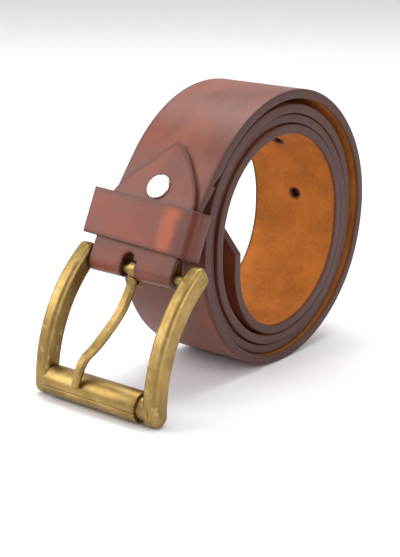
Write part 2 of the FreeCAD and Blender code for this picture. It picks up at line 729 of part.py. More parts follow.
def tongue_side():
    """Side outline of the shank, thinner towards the tip."""
    middle = tongue_middle()
    front = []
    back = []
    for number, point in enumerate(middle):
        before = middle[max(number - 1, 0)]
        after = middle[min(number + 1, len(middle) - 1)]
        along = (after - before).normalize()
        out = vec(0, along.z, -along.y)
        share = -point.z / BUCKLE_LENGTH
        half = (TONGUE_THICKNESS + (TONGUE_TIP_THICKNESS - TONGUE_THICKNESS) * share) / 2
        front.append(point + out * half)
        back.append(point - out * half)
    front_curve = Part.BSplineCurve()
    front_curve.interpolate(front)
    back_curve = Part.BSplineCurve()
    back_curve.interpolate(back)
    beyond = (middle[-1] - middle[-2]).normalize() * (TONGUE_TIP_THICKNESS / 2)
    tip = Part.Arc(front[-1], middle[-1] + beyond, back[-1]).toShape()
    root = Part.makeLine(back[0], front[0])
    return Part.Wire([front_curve.toShape(), tip, back_curve.toShape(), root])


def tongue_plan():
    """Plan of the shank in X-Z: it drifts sideways and is widest above its middle."""
    length = BUCKLE_LENGTH + TONGUE_TIP_THICKNESS
    shares = ((0.0, TONGUE_ROOT_WIDTH), (TONGUE_WIDEST, TONGUE_WIDTH), (1.0, TONGUE_TIP_WIDTH))
    sides = []
    for side in (-1, 1):
        points = []
        for share, width in shares:
            x = TONGUE_X + TONGUE_DRIFT * share + side * width / 2
            points.append(vec(x, 0, -length * share))
        curve = Part.BSplineCurve()
        curve.interpolate(points)
        sides.append(curve.toShape())
    root = Part.makeLine(first_point(sides[:1]), first_point(sides[1:]))
    tip = Part.makeLine(last_point(sides[:1]), last_point(sides[1:]))
    return Part.Face(Part.Wire(Part.__sortEdges__(sides + [root, tip])))


def tongue_hook():
    """The tongue's root: over the heel bar and down behind it, open below."""
    bore = HEEL_BAR_RADIUS + BAR_CLEARANCE
    outer = bore + TONGUE_LOOP_WALL
    width = TONGUE_ROOT_WIDTH
    start = vec(TONGUE_X - width / 2, 0, 0)
    ring = Part.makeCylinder(outer, width, start, X_AXIS)
    rims = [edge for edge in ring.Edges if edge.Curve.TypeId == "Part::GeomCircle"]
    ring = ring.makeFillet(TONGUE_LOOP_WALL * 0.4, rims)
    opening = Part.makeBox(width, outer, outer, start + vec(0, 0.3, -outer))
    tail = Part.makeBox(width, TONGUE_LOOP_WALL, TONGUE_TAIL, start + vec(0, bore, -TONGUE_TAIL))
    low_edges = [edge for edge in tail.Edges if edge.BoundBox.ZMax < -TONGUE_TAIL + 0.01]
    tail = tail.makeFillet(TONGUE_LOOP_WALL * 0.3, low_edges)
    hook = ring.cut(opening).fuse(tail)
    return hook.cut(Part.makeCylinder(bore, 3 * width, start - X_AXIS * width, X_AXIS))


def make_tongue():
    """A hook round the heel bar with a bowed shank whose tip lies on the roller."""
    reach = STRAP_WIDTH / 2
    side = Part.Face(tongue_side())
    side.translate(vec(-reach, 0, 0))
    plan = tongue_plan()
    plan.translate(vec(0, -reach, 0))
    swept = side.extrude(vec(2 * reach, 0, 0))
    shank = swept.common(plan.extrude(vec(0, 2 * reach, 0))).Solids[0]
    long_edges = [edge for edge in shank.Edges if edge.Length > BUCKLE_LENGTH / 2]
    shank = shank.makeFillet(TONGUE_EDGE_ROUND, long_edges)
    bar = Part.makeCylinder(HEEL_BAR_RADIUS + BAR_CLEARANCE, 2 * reach, vec(-reach, 0, 0), X_AXIS)
    return hang_on_bar(tongue_hook().fuse(shank.cut(bar)).removeSplitter())


# ================================================================ all parts
MAKERS = {
    "strap": make_strap,
    "chape": make_chape,
    "screw_post": make_screw_post,
    "screw": make_screw,
    "keeper": make_keeper,
    "keeper_staples": make_keeper_staples,
    "buckle_frame": make_buckle_frame,
    "roller": make_roller,
    "tongue": make_tongue,
}


def main():
    os.makedirs("parts", exist_ok=True)
    shapes = {name: make() for name, make in MAKERS.items()}
    box = Part.makeCompound(list(shapes.values())).optimalBoundingBox(False)
    centre = vec(-box.Center.x, -box.Center.y, -box.ZMin)
    for name, shape in shapes.items():
        shape.translate(centre)
        shape.exportStep("parts/" + name + ".step")
        print(name, "solids", len(shape.Solids), "valid", shape.isValid(), "volume", round(shape.Volume, 1))
    heel = HEEL_BAR + centre
    roller = vec(0, 0, -BUCKLE_LENGTH)
    roller = FreeCAD.Rotation(X_AXIS, -swing_angle()).multVec(roller) + heel
    print("shift", [round(value, 3) for value in centre])
    print("box", round(box.XLength, 2), round(box.YLength, 2), round(box.ZLength, 2))
    print("strap length", round(PATH_LENGTH - STRAP_END, 1))
    print("heel bar", [round(value, 3) for value in heel])
    print("roller axis", [round(value, 3) for value in roller])
    print("down the lead", [round(value, 5) for value in -LEAD_UP])
    print("swing", round(swing_angle(), 2), "ramp", round(ramp_length(), 2))


main()
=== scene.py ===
import bmesh
import bpy
import math
import numpy as np
from mathutils import Matrix, Vector, geometry, kdtree


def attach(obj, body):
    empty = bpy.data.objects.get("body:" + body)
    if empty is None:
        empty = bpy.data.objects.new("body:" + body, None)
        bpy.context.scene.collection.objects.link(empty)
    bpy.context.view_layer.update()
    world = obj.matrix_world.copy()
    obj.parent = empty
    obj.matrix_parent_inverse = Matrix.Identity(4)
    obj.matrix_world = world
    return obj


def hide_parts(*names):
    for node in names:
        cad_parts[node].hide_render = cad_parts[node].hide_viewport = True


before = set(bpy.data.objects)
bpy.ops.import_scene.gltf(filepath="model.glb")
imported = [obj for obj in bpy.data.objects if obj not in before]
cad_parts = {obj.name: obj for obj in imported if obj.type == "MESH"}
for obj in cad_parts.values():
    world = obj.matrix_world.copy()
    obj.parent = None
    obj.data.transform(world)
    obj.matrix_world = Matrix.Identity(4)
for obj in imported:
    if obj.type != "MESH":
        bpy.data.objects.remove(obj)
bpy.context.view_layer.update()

# A rolled leather belt with a roller buckle.  Sizes in the code are millimetres, turned into metres
# when a mesh is made.  The side section is a path of straights and arcs in the Y-Z plane.
MM = 0.001


def direction(angle):
    a = math.radians(angle)
    return np.array([math.cos(a), math.sin(a)])


# ---------------------------------------------------------------- the strap's path
HEEL_BAR = np.array([-42.421, 46.032])
ACROSS = 0.8  # the strap's middle line is this far from X = 0
LEAD_STEEP = 67.4
LEAD_SHALLOW = 52.0
FOLD_RADIUS = 2.0
LEAD_UP = direction(LEAD_STEEP)
LEAD_OUT = direction(LEAD_STEEP + 90)
STRAP_THICKNESS = 3.5
SKIVED_THICKNESS = 2.0
TURN_GAP = 0.3
SCREW_STATION = 30.3
LAY_GAP = 0.05
CHAPE_THICKNESS = 1.6


def belt_elements():
    """(length, heading at the start, radius or None)"""
    rows = [(22.9, LEAD_STEEP, None)]
    rows.append((20.0 * math.radians(LEAD_STEEP - LEAD_SHALLOW), LEAD_STEEP, 20.0))
    rows.append((13.88, LEAD_SHALLOW, None))
    rows.append((56.7 * math.radians(LEAD_SHALLOW), LEAD_SHALLOW, 56.7))
    rows.append((51.1 * math.pi / 2, 0.0, 51.1))
    rows.append((54.2 * math.pi / 2, -90.0, 54.2))
    heading = -180.0
    radius = 48.55
    for _ in range(6):
        rows.append((radius * math.pi / 2, heading, radius))
        rows.append((3.0, heading - 90, None))
        rows.append((radius * math.pi / 2, heading - 90, radius))
        heading -= 180.0
        radius -= (STRAP_THICKNESS + TURN_GAP) / 2
    rows.append((30.0 * math.pi / 2, heading, 30.0))
    rows.append((25.5, heading - 90, None))
    return rows


class Track:
    """A line in a plane with the normal at each point, looked up by the distance along it."""

    def __init__(self, points, normals):
        self.points = np.array(points, float)
        self.normals = np.array(normals, float)
        steps = np.linalg.norm(np.diff(self.points, axis=0), axis=1)
        self.station = np.concatenate([[0.0], np.cumsum(steps)])
        self.length = self.station[-1]

    def at(self, s, offset):
        s = np.asarray(s, float)
        out = []
        for axis in (0, 1):
            out.append(np.interp(s, self.station, self.points[:, axis]))
        normal = [np.interp(s, self.station, self.normals[:, axis]) for axis in (0, 1)]
        size = np.hypot(normal[0], normal[1])
        return out[0] + normal[0] / size * offset, out[1] + normal[1] / size * offset


def belt_track(step=0.4):
    """The grain face of the strap, from the heel bar to the tip."""
    points, normals = [], []
    point = HEEL_BAR + LEAD_OUT * FOLD_RADIUS
    for length, heading, radius in belt_elements():
        count = max(2, int(length / step))
        centre = None if radius is None else point - direction(heading + 90) * radius
        for k in range(count):
            along = length * k / count
            if radius is None:
                points.append(point + direction(heading) * along)
                normals.append(direction(heading + 90))
            else:
                turned = heading + 90 - math.degrees(along / radius)
                points.append(centre + direction(turned) * radius)
                normals.append(direction(turned))
        if radius is None:
            point = point + direction(heading) * length
        else:
            point = centre + direction(heading + 90 - math.degrees(length / radius)) * radius
    points.append(point)
    normals.append(normals[-1])
    return Track(points, normals)


BELT = belt_track()


# ---------------------------------------------------------------- mesh tools
def resample(points, step):
    """A closed line with points about one step apart."""
    points = np.array(points, float)
    closed = np.vstack([points, points[:1]])
    run = np.concatenate([[0.0], np.cumsum(np.linalg.norm(np.diff(closed, axis=0), axis=1))])
    count = max(8, int(run[-1] / step))
    at = np.arange(count) * run[-1] / count
    return np.column_stack([np.interp(at, run, closed[:, k]) for k in (0, 1)])


def signed_area(points):
    x, y = points[:, 0], points[:, 1]
    return 0.5 * np.sum(x * np.roll(y, -1) - np.roll(x, -1) * y)


def turned_to(points, counterclockwise):
    return points if (signed_area(points) > 0) == counterclockwise else points[::-1]


def inward(points):
    """The normals that point into the material, for a loop with the material on its left."""
    tangent = np.roll(points, -1, axis=0) - np.roll(points, 1, axis=0)
    tangent /= np.maximum(np.linalg.norm(tangent, axis=1), 1e-9)[:, None]
    return np.column_stack([-tangent[:, 1], tangent[:, 0]])


def inside(points, loop):
    """Even-odd test of many points against one loop."""
    x, y = points[:, 0][:, None], points[:, 1][:, None]
    x0, y0 = loop[:, 0][None], loop[:, 1][None]
    x1, y1 = np.roll(loop[:, 0], -1)[None], np.roll(loop[:, 1], -1)[None]
    result = np.zeros(len(points), bool)
    for low in range(0, len(points), 4000):
        part = slice(low, low + 4000)
        crosses = (y0 > y[part]) != (y1 > y[part])
        reach = (x1 - x0) * (y[part] - y0) / np.where(y1 == y0, 1e-12, y1 - y0) + x0
        result[part] = (np.sum(crosses & (x[part] < reach), axis=1) % 2) == 1
    return result


def fill(loops, step):
    """Triangles of an area between its outer loop and its holes, with a grid of points inside.
    The loops' points come first in the result, in their own order."""
    border = np.vstack(loops)
    low, high = border.min(0), border.max(0)
    counts = np.maximum(1, np.round((high - low) / step)).astype(int)
    grid = np.stack(np.meshgrid(
        np.linspace(low[0], high[0], counts[0] + 1),
        np.linspace(low[1], high[1], counts[1] + 1), indexing="ij"), -1).reshape(-1, 2)
    keep = inside(grid, loops[0])
    for hole in loops[1:]:
        keep &= ~inside(grid, hole)
    grid = grid[keep]
    tree = kdtree.KDTree(len(border))
    for k, p in enumerate(border):
        tree.insert((p[0], p[1], 0), k)
    tree.balance()
    near = np.array([tree.find((p[0], p[1], 0))[2] for p in grid])
    grid = grid[near > 0.55 * step] if len(grid) else grid
    points = np.vstack([border, grid])
    edges, start = [], 0
    for loop in loops:
        n = len(loop)
        edges += [(start + k, start + (k + 1) % n) for k in range(n)]
        start += n
    made = geometry.delaunay_2d_cdt([Vector(p) for p in points], edges, [], 0, 1e-7)
    back = [origin[0] if origin else -1 for origin in made[3]]
    faces = np.array([[back[i] for i in f] for f in made[2] if len(f) == 3 and all(back[i] >= 0 for i in f)])
    middle = points[faces].mean(1)
    good = inside(middle, loops[0])
    for hole in loops[1:]:
        good &= ~inside(middle, hole)
    return points, faces[good]


def slab(name, outline, holes, step, thickness, place, rounding=0.6, bends=4, low_rounding=None):
    """A piece cut to an outline in a flat (u, v) plane, with a thickness and rounded edges,
    put where place(u, v, n) says.  n is 0 on its upper face and negative below."""
    low_rounding = rounding if low_rounding is None else low_rounding
    rims = [turned_to(np.array(outline, float), True)]
    rims += [turned_to(np.array(h, float), False) for h in holes]
    normals = [inward(r) for r in rims]
    levels = []
    for k in range(bends + 1):
        a = math.pi / 2 * k / bends
        levels.append((rounding * (1 - math.sin(a)), rounding * (1 - math.cos(a)), 0))
    for share in (0.25, 0.5, 0.75):
        levels.append((0.0, share, 1))
    for k in range(bends, -1, -1):
        a = math.pi / 2 * k / bends
        levels.append((low_rounding * (1 - math.sin(a)), low_rounding * (1 - math.cos(a)), 2))
    top, faces = fill([r + n * rounding for r, n in zip(rims, normals)], step)
    rim_points = np.vstack(rims)
    tree = kdtree.KDTree(len(rim_points))
    for k, p in enumerate(rim_points):
        tree.insert((p[0], p[1], 0), k)
    tree.balance()

    def depth_at(u, v, amount, kind):
        full = thickness(u, v) if callable(thickness) else np.full(len(u), float(thickness))
        if kind == 0:
            return -np.full(len(u), amount)
        if kind == 2:
            return -(full - amount)
        return -(rounding + (full - rounding - low_rounding) * amount)

    blocks, rim_of, wall_of, flesh_of = [], [], [], []

    def add(points, amount, kind, wall):
        u, v = points[:, 0], points[:, 1]
        start = sum(len(b) for b in blocks)
        blocks.append(np.column_stack([u, v, depth_at(u, v, amount, kind)]))
        if wall is None:
            away = [tree.find((p[0], p[1], 0))[2] for p in points]
            wall = 0.0
        else:
            away = [0.0] * len(points)
        rim_of.extend(away)
        wall_of.extend([wall] * len(points))
        flesh_of.extend([1.0 if kind == 2 else 0.0 if kind == 0 else 0.5] * len(points))
        return start

    top_start = add(top, 0.0, 0, None)
    bottom_points = top.copy()
    at = 0
    for r, n in zip(rims, normals):
        bottom_points[at:at + len(r)] = r + n * low_rounding
        at += len(r)
    bottom_start = add(bottom_points, 0.0, 2, None)
    polygons = [tuple(top_start + f) for f in faces] + [tuple(bottom_start + f[::-1]) for f in faces]
    at = 0
    for r, n in zip(rims, normals):
        rings = [np.arange(len(r)) + top_start + at]
        for inset, amount, kind in levels[1:-1]:
            rings.append(np.arange(len(r)) + add(r + n * inset, amount, kind, 1.0))
        rings.append(np.arange(len(r)) + bottom_start + at)
        at += len(r)
        for upper, lower in zip(rings, rings[1:]):
            after_u, after_l = np.roll(upper, -1), np.roll(lower, -1)
            polygons += [tuple(q) for q in zip(upper, lower, after_l, after_u)]
    flat = np.vstack(blocks)
    xyz = (np.column_stack(place(flat[:, 0], flat[:, 1], flat[:, 2])) + [ACROSS, 0, 0]) * MM
    mesh = bpy.data.meshes.new(name)
    mesh.from_pydata(xyz.tolist(), [], [tuple(int(i) for i in p) for p in polygons])
    mesh.update()
    work = bmesh.new()
    work.from_mesh(mesh)
    bmesh.ops.recalc_face_normals(work, faces=work.faces)
    work.to_mesh(mesh)
    work.free()
    mesh.polygons.foreach_set("use_smooth", [True] * len(mesh.polygons))
    for title, values in (("rim", rim_of), ("wall", wall_of), ("flesh", flesh_of)):
        mesh.attributes.new(title, "FLOAT", "POINT").data.foreach_set("value", np.array(values, np.float32))
    held = mesh.attributes.new("flat", "FLOAT_VECTOR", "POINT")
    held.data.foreach_set("vector", flat.astype(np.float32).ravel())
    made = bpy.data.objects.new(name, mesh)
    bpy.context.scene.collection.objects.link(made)
    return made


def put(piece, body, node, material):
    piece.data.materials.append(material)
    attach(piece, body)
    if node:
        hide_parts(node)
    return piece


def circle(radius, count, middle=(0.0, 0.0)):
    a = np.arange(count) * 2 * math.pi / count
    return np.column_stack([middle[0] + radius * np.cos(a), middle[1] + radius * np.sin(a)])


def arc3(a, b, c, count):
    """Points on the circle through three points, from the first to the last."""
    a, b, c = (np.array(p, float) for p in (a, b, c))
    m = 2 * np.array([b - a, c - a])
    centre = np.linalg.solve(m, [b @ b - a @ a, c @ c - a @ a])
    angles = [math.atan2(*(p - centre)[::-1]) for p in (a, b, c)]
    total = (angles[2] - angles[0]) % (2 * math.pi)
    if (angles[1] - angles[0]) % (2 * math.pi) > total:
        total -= 2 * math.pi
    t = angles[0] + total * np.linspace(0, 1, count)
    r = np.linalg.norm(a - centre)
    return np.column_stack([centre[0] + r * np.cos(t), centre[1] + r * np.sin(t)])


def spline(points, count):
    """A smooth line through points (Catmull-Rom)."""
    p = np.vstack([2 * points[0] - points[1], points, 2 * points[-1] - points[-2]])
    out = []
    for k in range(1, len(p) - 2):
        for t in np.linspace(0, 1, count, endpoint=False):
            out.append(0.5 * ((2 * p[k]) + (p[k + 1] - p[k - 1]) * t
                       + (2 * p[k - 1] - 5 * p[k] + 4 * p[k + 1] - p[k + 2]) * t * t
                       + (3 * p[k] - 3 * p[k + 1] + p[k + 2] - p[k - 1]) * t ** 3))
    out.append(p[-2])
    return np.array(out)


def lead_place(x, y, z):
    """From a drawing with the heel bar on X and the strap rising along Z."""
    a = math.radians(LEAD_STEEP - 90)
    return x, y * math.cos(a) - z * math.sin(a) + HEEL_BAR[0], y * math.sin(a) + z * math.cos(a) + HEEL_BAR[1]


# ---------------------------------------------------------------- shader tools
def srgb(r, g, b):
    return tuple((c / 255 / 12.92 if c / 255 <= 0.04045 else ((c / 255 + 0.055) / 1.055) ** 2.4)
                 for c in (r, g, b)) + (1.0,)


class Paint:
    """A material's node tree, with short ways to add nodes."""

    def __init__(self, name):
        self.material = bpy.data.materials.new(name)
        self.material.use_nodes = True
        self.tree = self.material.node_tree
        self.shader = self.tree.nodes["Principled BSDF"]

    def node(self, kind, **values):
        made = self.tree.nodes.new(kind)
        for key, value in values.items():
            setattr(made, key, value)
        return made

    def link(self, value, socket):
        if hasattr(value, "is_output"):
            self.tree.links.new(value, socket)
        else:
            socket.default_value = value

    def attribute(self, name, vector=False):
        made = self.node("ShaderNodeAttribute", attribute_name=name)
        return made.outputs["Vector" if vector else "Fac"]

    def stretched(self, vector, scale, offset=(0, 0, 0)):
        made = self.node("ShaderNodeMapping")
        self.link(vector, made.inputs["Vector"])
        made.inputs["Scale"].default_value = scale
        made.inputs["Location"].default_value = offset
        return made.outputs["Vector"]

    def noise(self, vector, scale, detail=4.0, rough=0.55, warp=0.0):
        made = self.node("ShaderNodeTexNoise")
        self.link(vector, made.inputs["Vector"])
        made.inputs["Scale"].default_value = scale
        made.inputs["Detail"].default_value = detail
        made.inputs["Roughness"].default_value = rough
        made.inputs["Distortion"].default_value = warp
        return made.outputs["Fac"]

    def cells(self, vector, scale, feature="F1"):
        made = self.node("ShaderNodeTexVoronoi", feature=feature)
        self.link(vector, made.inputs["Vector"])
        made.inputs["Scale"].default_value = scale
        return made.outputs["Distance"]

    def math(self, how, a, b=0.0, clamp=False):
        made = self.node("ShaderNodeMath", operation=how, use_clamp=clamp)
        self.link(a, made.inputs[0])
        self.link(b, made.inputs[1])
        return made.outputs[0]

    def range(self, value, low, high, new_low=0.0, new_high=1.0):
        made = self.node("ShaderNodeMapRange", interpolation_type="SMOOTHSTEP")
        self.link(value, made.inputs["Value"])
        limits = {"From Min": low, "From Max": high, "To Min": new_low, "To Max": new_high}
        for title, number in limits.items():
            self.link(number, made.inputs[title])
        return made.outputs["Result"]

    def mix(self, share, a, b, how="MIX"):
        made = self.node("ShaderNodeMix", data_type="RGBA", blend_type=how)
        self.link(share, made.inputs[0])
        self.link(a, made.inputs[6])
        self.link(b, made.inputs[7])
        return made.outputs[2]

    def bump(self, height, strength, distance, under=None):
        made = self.node("ShaderNodeBump")
        made.inputs["Strength"].default_value = strength
        made.inputs["Distance"].default_value = distance
        self.link(height, made.inputs["Height"])
        if under is not None:
            self.link(under, made.inputs["Normal"])
        return made.outputs["Normal"]

    def split(self, vector):
        made = self.node("ShaderNodeSeparateXYZ")
        self.link(vector, made.inputs[0])
        return made.outputs


def leather(name, light, dark, edge, flesh=srgb(176, 104, 40), patch=None):
    """Waxed grain, a burnished cut edge and a fibrous flesh side, in the piece's own flat millimetres."""
    p = Paint(name)
    flat = p.attribute("flat", True)
    rim, wall, side = p.attribute("rim"), p.attribute("wall"), p.attribute("flesh")
    # grain side: cloudy dye, faint lengthwise strain lines, small pores
    cloud = p.noise(p.stretched(flat, (0.5, 1.0, 1.0)), 0.06, 5.0, 0.6, 0.4)
    streak = p.noise(p.stretched(flat, (0.12, 1.6, 1.0)), 0.8, 3.0, 0.6)
    pores = p.cells(flat, 2.6)
    fine = p.noise(flat, 3.2, 4.0, 0.6)
    grain = p.mix(p.range(cloud, 0.3, 0.7), dark, light)
    grain = p.mix(p.range(streak, 0.35, 0.75, 0.0, 0.22), grain, dark)
    grain = p.mix(p.range(fine, 0.3, 0.75, 0.0, 0.2), grain, light)
    if patch is not None:
        grain = patch(p, flat, grain)
    grain = p.mix(p.range(rim, 0.2, 2.2, 0.55, 0.0), grain, edge)
    # flesh side: tan fibres with dark specks and the dye that ran over the edges
    fibre = p.noise(p.stretched(flat, (0.5, 1.0, 1.0)), 1.4, 8.0, 0.72, 1.0)
    tone = p.noise(flat, 0.09, 4.0, 0.6)
    specks = p.cells(flat, 0.42)
    nap = p.mix(p.range(tone, 0.3, 0.7), flesh, tuple(c * 0.62 for c in flesh[:3]) + (1.0,))
    pale = tuple(min(1.0, c * 1.35) for c in flesh[:3]) + (1.0,)
    nap = p.mix(p.range(fibre, 0.35, 0.7, 0.0, 0.5), nap, pale)
    nap = p.mix(p.range(specks, 0.05, 0.14, 0.75, 0.0), nap, srgb(70, 34, 18))
    nap = p.mix(p.range(rim, 0.3, 1.8, 0.8, 0.0), nap, edge)
    # cut edge: dark wax over layered fibres that run along the belt
    layers = p.noise(p.stretched(flat, (0.25, 0.25, 3.0)), 1.3, 5.0, 0.7)
    cut = p.mix(p.range(layers, 0.3, 0.75), edge, tuple(c * 1.75 for c in edge[:3]) + (1.0,))
    faces = p.mix(p.range(side, 0.6, 0.9), grain, nap)
    colour = p.mix(wall, faces, cut)
    p.link(colour, p.shader.inputs["Base Color"])
    on_flesh = p.math("MULTIPLY", p.range(side, 0.6, 0.9), p.math("SUBTRACT", 1.0, wall))
    gloss = p.range(cloud, 0.25, 0.75, 0.36, 0.47)
    gloss = p.math("ADD", gloss, p.math("MULTIPLY", wall, 0.08))
    gloss = p.math("ADD", gloss, p.math("MULTIPLY", on_flesh, 0.4), True)
    p.link(gloss, p.shader.inputs["Roughness"])
    p.link(p.math("SUBTRACT", 0.45, p.math("MULTIPLY", on_flesh, 0.3)), p.shader.inputs["Specular IOR Level"])
    # relief
    wrinkle = p.noise(p.stretched(flat, (1.0, 0.7, 1.0)), 0.55, 3.0, 0.55, 0.6)
    skin = p.math("ADD", p.math("MULTIPLY", p.range(pores, 0.0, 0.35), 0.35), p.math("MULTIPLY", fine, 0.5))
    skin = p.math("ADD", skin, p.math("MULTIPLY", wrinkle, 0.8))
    rough = p.math("ADD", p.math("MULTIPLY", fibre, 2.6), p.math("MULTIPLY", p.range(specks, 0.0, 0.2), 1.2))
    height = p.node("ShaderNodeMix", data_type="FLOAT")
    p.link(p.math("ADD", on_flesh, p.math("MULTIPLY", wall, 0.35), True), height.inputs[0])
    p.link(skin, height.inputs[2])
    p.link(rough, height.inputs[3])
    p.link(p.bump(height.outputs[0], 0.35, 0.00012), p.shader.inputs["Normal"])
    return p.material


def keeper_sheen_patch(p, flat, grain):
    """A painted orange reflection on the right third, beside a dark corner."""
    u = p.split(flat)[0]
    wave = p.math("MULTIPLY", p.noise(flat, 0.16, 4.0, 0.6), 6.0)
    place = p.math("ADD", u, wave)
    rising = p.range(place, KEEPER_SHEEN - 5, KEEPER_SHEEN)
    falling = p.range(place, KEEPER_SHEEN + 7, KEEPER_SHEEN + 2)
    painted_sheen = p.math("MULTIPLY", rising, falling)
    dark = p.math("MULTIPLY", p.range(place, KEEPER_SHEEN + 2, KEEPER_SHEEN + 7), 0.85)
    # painted orange reflection (sheen) near the right end of the keeper's front
    grain = p.mix(p.math("MULTIPLY", painted_sheen, 0.75), grain, srgb(168, 76, 22))
    return p.mix(dark, grain, srgb(84, 30, 12))


def metal(name, base, dark, bright, rough_low, rough_high, speck=0.5):
    p = Paint(name)
    where = p.node("ShaderNodeTexCoord").outputs["Object"]
    rim = p.attribute("rim")
    wear = p.noise(where, 260.0, 6.0, 0.65)
    broad = p.noise(where, 60.0, 4.0, 0.6, 0.3)
    dots = p.noise(where, 2400.0, 2.0, 0.5)
    colour = p.mix(p.range(broad, 0.3, 0.7), dark, base)
    colour = p.mix(p.range(wear, 0.5, 0.72, 0.0, 0.55), colour, bright)
    colour = p.mix(p.range(dots, 0.5, 0.72, 0.0, speck), colour, dark)
    p.link(colour, p.shader.inputs["Base Color"])
    p.shader.inputs["Metallic"].default_value = 1.0
    p.link(p.range(wear, 0.3, 0.7, rough_low, rough_high), p.shader.inputs["Roughness"])
    scuff = p.noise(p.stretched(where, (1.0, 1.0, 0.35)), 900.0, 3.0, 0.6)
    height = p.math("ADD", p.math("MULTIPLY", scuff, 0.6), p.math("MULTIPLY", dots, 0.4))
    p.link(p.bump(height, 0.25, 0.00004), p.shader.inputs["Normal"])
    return p.material


# ---------------------------------------------------------------- materials
KEEPER_SHEEN = 74.0
STRAP_LEATHER = leather("strap_leather", srgb(128, 66, 44), srgb(92, 44, 30), srgb(58, 28, 19))
CHAPE_LEATHER = leather("chape_leather", srgb(126, 64, 42), srgb(96, 44, 28), srgb(62, 28, 18))
KEEPER_LEATHER = leather(
    "keeper_leather", srgb(134, 58, 34), srgb(104, 42, 24), srgb(66, 26, 14), patch=keeper_sheen_patch)
BRASS = metal("antique_brass", srgb(172, 144, 88), srgb(132, 106, 58), srgb(206, 182, 124), 0.34, 0.5)
NICKEL = metal("nickel", srgb(236, 232, 224), srgb(214, 208, 198), srgb(246, 243, 238), 0.16, 0.28, 0.15)
STEEL = metal("staple_steel", srgb(170, 168, 164), srgb(120, 118, 114), srgb(210, 208, 204), 0.25, 0.4, 0.3)


# ---------------------------------------------------------------- strap
STRAP_END = 6.5
FIRST_HOLE_FROM_TIP = 141.0
HOLE_SPACING = 30.0
HOLE_RADIUS = 1.85
HOLE_COUNT = 5


def strap_half_width(s):
    """Half the strap's width near its pointed tip."""
    left = BELT.length - s
    straight = 5.0 + left * 15.0 / 17.0
    round_end = np.sqrt(np.maximum(0.0, 25.0 - (5.0 - np.minimum(left, 5.0)) ** 2))
    return np.minimum(20.0, np.where(left < 2.6, round_end, straight - 1.0))


def strap_thickness(u, v):
    share = np.clip((u - 37.2) / 4.0, 0, 1)
    return SKIVED_THICKNESS + (STRAP_THICKNESS - SKIVED_THICKNESS) * share


def strap_drift(s):
    """The turns don't lie quite square to each other."""
    return -1.6 * np.clip((s - 380) / 120, 0, 1) + 1.0 * np.clip((s - 700) / 120, 0, 1) \
        + 0.12 * np.sin(s / 23.0) + 0.07 * np.sin(s / 8.1 + 1.0)


def strap_place(u, v, n):
    y, z = BELT.at(u, n)
    return v + strap_drift(u), y, z


def make_strap():
    pointed_from = BELT.length - 24
    s = np.concatenate([
        np.arange(STRAP_END, pointed_from, 1.2), np.arange(pointed_from, BELT.length, 0.4)])
    upper = np.column_stack([s, strap_half_width(s)])
    outline = np.vstack([np.column_stack([s, -strap_half_width(s)]), [[BELT.length, 0.0]], upper[::-1]])
    first = BELT.length - FIRST_HOLE_FROM_TIP
    holes = [circle(HOLE_RADIUS, 24, (first - HOLE_SPACING * k, 0.0)) for k in range(HOLE_COUNT)]
    holes.append(circle(2.4, 24, (SCREW_STATION, 0.0)))
    piece = slab("strap_leather_visual", outline, holes, 1.6, strap_thickness, strap_place, 0.5, 3)
    return put(piece, "belt", "strap", STRAP_LEATHER)


make_strap()


# ---------------------------------------------------------------- chape
CHAPE_HALF = 19.6
CHAPE_SHIFT = -3.2
CHAPE_SKEW = 0.10
CHAPE_TIP = 48.9


def chape_track():
    """The chape's inner face, from its pointed end, round the heel bar, to the end of its back leg."""
    points, normals = [], []
    for s in np.arange(CHAPE_TIP, 0.0, -0.3):
        y, z = BELT.at([s], LAY_GAP)
        y1, z1 = BELT.at([s], LAY_GAP + 1)
        points.append([y[0], z[0]])
        normals.append([y1[0] - y[0], z1[0] - z[0]])
    for a in np.arange(0.0, 200.1, 4.0):
        out = direction(LEAD_STEEP + 90 + a)
        points.append(HEEL_BAR + out * FOLD_RADIUS)
        normals.append(out)
    under = SKIVED_THICKNESS + LAY_GAP
    lean = math.radians(20.0)
    join = (FOLD_RADIUS / math.cos(lean) + FOLD_RADIUS - under) / math.tan(lean)
    for s in np.arange(max(join, 4.0), SCREW_STATION + 6.0, 0.3):
        y, z = BELT.at([s], -under)
        y1, z1 = BELT.at([s], -under - 1)
        points.append([y[0], z[0]])
        normals.append([y1[0] - y[0], z1[0] - z[0]])
    return Track(points, normals)


CHAPE = chape_track()


def chape_height(u):
    y, z = CHAPE.at(u, 0.0)
    return (y - HEEL_BAR[0]) * LEAD_UP[0] + (z - HEEL_BAR[1]) * LEAD_UP[1]


def chape_place(u, v, n):
    y, z = CHAPE.at(u, CHAPE_THICKNESS + n)
    return v + CHAPE_SHIFT + CHAPE_SKEW * chape_height(u), y, z


